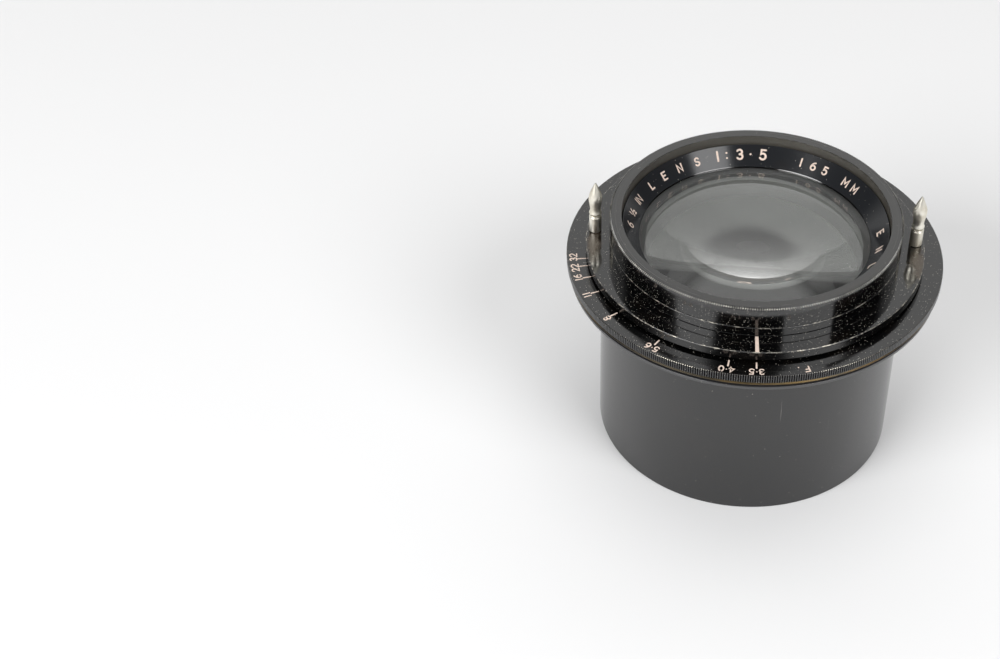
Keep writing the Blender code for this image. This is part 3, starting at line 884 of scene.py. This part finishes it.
# =============================================================================================
# Studio
# =============================================================================================
def build_camera():
    data = bpy.data.cameras.new("camera")
    data.lens = CAMERA_FOCAL
    data.sensor_width = CAMERA_SENSOR
    data.clip_start = 0.01
    data.clip_end = 50.0
    camera = bpy.data.objects.new("camera", data)
    elevation = math.radians(CAMERA_ELEVATION_DEG)
    yaw = math.radians(CAMERA_YAW_DEG)
    back = Vector((
        math.cos(elevation) * math.sin(yaw),
        -math.cos(elevation) * math.cos(yaw),
        math.sin(elevation),
    ))
    camera.location = (CAMERA_TARGET + back * CAMERA_DISTANCE) * MM
    aim = (-back).to_track_quat("-Z", "Y").to_matrix()
    roll = Matrix.Rotation(math.radians(CAMERA_ROLL_DEG), 3, "Z")
    camera.rotation_euler = (aim @ roll).to_euler()
    bpy.context.scene.collection.objects.link(camera)
    bpy.context.scene.camera = camera


FLOOR_HALF = 6.0                  # metres
FLOOR_PAPER = (0.72, 0.72, 0.725)


def build_floor():
    shape = bmesh.new()
    bmesh.ops.create_grid(shape, x_segments=1, y_segments=1, size=FLOOR_HALF)
    data = bpy.data.meshes.new("floor")
    shape.to_mesh(data)
    shape.free()
    floor = bpy.data.objects.new("floor", data)
    n = Skin("floor_paper")
    n.set(Base_Color=(*FLOOR_PAPER, 1.0), Roughness=0.85, Specular_IOR_Level=0.2)
    data.materials.append(n.material)
    bpy.context.scene.collection.objects.link(floor)


PAPER_BEHIND = (0.45, 0.65)       # the cosine, from +Y, where the paper's sides end
PAPER_HEIGHT = (0.86, 0.93)       # the height, as a sine, where it ends
PAPER = 0.95
CEILING_HEIGHT = (0.86, 0.93)
CEILING = 1.8
HORIZON_HEIGHT = (0.06, 0.22)
HORIZON = 0.6
ROOM = 0.03
NEARLY_ONE = 1.0001               # keeps the square root above zero straight up and down


def build_world():
    """A dim room, with pale paper that sweeps up behind the lens and a soft light overhead."""
    world = bpy.data.worlds.new("studio")
    world.use_nodes = True
    bpy.context.scene.world = world
    n = Nodes(world.node_tree)
    ground = n.tree.nodes["Background"]
    split = n.add("ShaderNodeSeparateXYZ")
    n.link(n.add("ShaderNodeTexCoord").outputs["Generated"], split.inputs[0])
    sine_squared = n.math("POWER", split.outputs[2], 2.0)
    level_length = n.math("SQRT", n.math("SUBTRACT", NEARLY_ONE, sine_squared))
    behind = n.ramp(n.math("DIVIDE", split.outputs[1], level_length), *PAPER_BEHIND, 0.0, PAPER)
    paper = n.math("MULTIPLY", behind, n.ramp(split.outputs[2], *PAPER_HEIGHT, 1.0, 0.0))
    horizon = n.ramp(split.outputs[2], *HORIZON_HEIGHT, HORIZON, ROOM)
    ceiling = n.ramp(split.outputs[2], *CEILING_HEIGHT, 0.0, CEILING)
    level = n.math("MAXIMUM", n.math("MAXIMUM", paper, horizon), ceiling)
    n.link(level, ground.inputs["Strength"])
    ground.inputs["Color"].default_value = (1.0, 1.0, 0.99, 1.0)


SOFTBOXES = (        # name, azimuth, elevation, distance and size in metres, radiance
    ("softbox_right", 44.5, 39.0, 1.4, (0.78, 0.74), 8.0),
    ("softbox_left", -45.0, 33.0, 1.4, (0.98, 0.62), 10.5),
)


def add_softbox(name, azimuth_deg, elevation_deg, distance, size, radiance):
    """An elliptical lamp facing the lens; azimuth runs from -Y towards +X."""
    azimuth = math.radians(azimuth_deg)
    elevation = math.radians(elevation_deg)
    spot = distance * Vector((
        math.sin(azimuth) * math.cos(elevation),
        -math.cos(azimuth) * math.cos(elevation),
        math.sin(elevation),
    ))
    data = bpy.data.lights.new(name, "AREA")
    data.shape = "ELLIPSE"
    data.size, data.size_y = size
    data.energy = radiance * math.pi * size[0] * size[1] * math.pi / 4.0
    light = bpy.data.objects.new(name, data)
    light.location = spot
    light.rotation_euler = (-spot).to_track_quat("-Z", "Y").to_euler()
    bpy.context.scene.collection.objects.link(light)


BLACK = (0.0012, 0.0012, 0.0013)
GLASS_TINT = (0.995, 1.0, 0.99)


def build_skins():
    return {
        "lacquer": lacquer_material("black_lacquer", BLACK, 0.08, 0.34, handled=WORN_BY_STUDS),
        "ring": lacquer_material("ring_lacquer", BLACK, 0.12, 0.24),
        "head": lacquer_material("head_lacquer", BLACK, 0.09, 0.38),
        "rim_top": lacquer_material("rim_top_lacquer", BLACK, 0.12, 0.03, turned=0.3),
        "tube": lacquer_material("tube_lacquer", (0.002, 0.002, 0.0022), 0.13, 0.015, scratched=0.5),
        "plate": lacquer_material("plate_black", (0.03, 0.03, 0.032), 0.35, 0.05),
        "name": lacquer_material("name_ring_lacquer", (0.014, 0.015, 0.017), 0.15, 0.03, ior=1.36),
        "lip": lacquer_material("lip_lacquer", BLACK, 0.09, 0.03),
        "faint_edge": worn_edge_material("faint_edge", 0.35),
        "shelf_edge": lacquer_material("shelf_edge_lacquer", BLACK, 0.18, 0.16),
        "rubbed_edge": worn_edge_material("rubbed_edge", 0.75, WORN_RING_EDGE),
        "inside": turned_material("inside_black", (0.045, 0.045, 0.045), 0.42, 90.0),
        "rim_wall": turned_material("rim_wall", (0.05, 0.046, 0.038), 0.45, TURNED_RINGS),
        "brass": metal_material("worn_brass", (0.05, 0.042, 0.03), (0.30, 0.20, 0.08), 0.35, 22.0),
        "nickel": metal_material("nickel", (0.86, 0.83, 0.74), (0.66, 0.61, 0.50), 0.32),
        "frosted_edge": turned_material("frosted_edge", (0.15, 0.153, 0.15), 0.9, 90.0),
        "blade": turned_material("blade_black", (0.05, 0.05, 0.055), 0.45, 90.0),
        "cream": paint_material("engraving_cream", (0.68, 0.55, 0.47)),
        "ground_edge": turned_material("ground_edge", (0.01, 0.01, 0.01), 0.7, 90.0),
        "bead": metal_material("rubbed_beads", (0.36, 0.35, 0.32), (0.06, 0.06, 0.055), 0.26, 420.0),
        "bare_glass": glass_material("bare_glass", GLASS_TINT, (1.0, 1.0, 1.0)),
        "coated_glass": glass_material("coated_glass", GLASS_TINT, (0.02, 0.022, 0.026)),
    }


def build_lens(skins):
    build_barrel(skins)
    build_aperture_ring(skins)
    build_scale(skins)
    build_index(skins)
    build_front_cell(skins)
    build_name_ring(skins)
    build_lower_rings(skins)
    build_front_glass(skins)
    build_inner_glasses(skins)
    for side, azimuth in STUD_AZIMUTHS_DEG.items():
        build_stud(side, azimuth, skins)


def build_studio():
    bpy.context.scene.view_settings.view_transform = "Standard"
    build_camera()
    build_floor()
    build_world()
    for softbox in SOFTBOXES:
        add_softbox(*softbox)


def main():
    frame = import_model()
    skins = build_skins()
    build_lens(skins)
    restyle_frame_nodes(frame, skins)
    build_studio()


main()
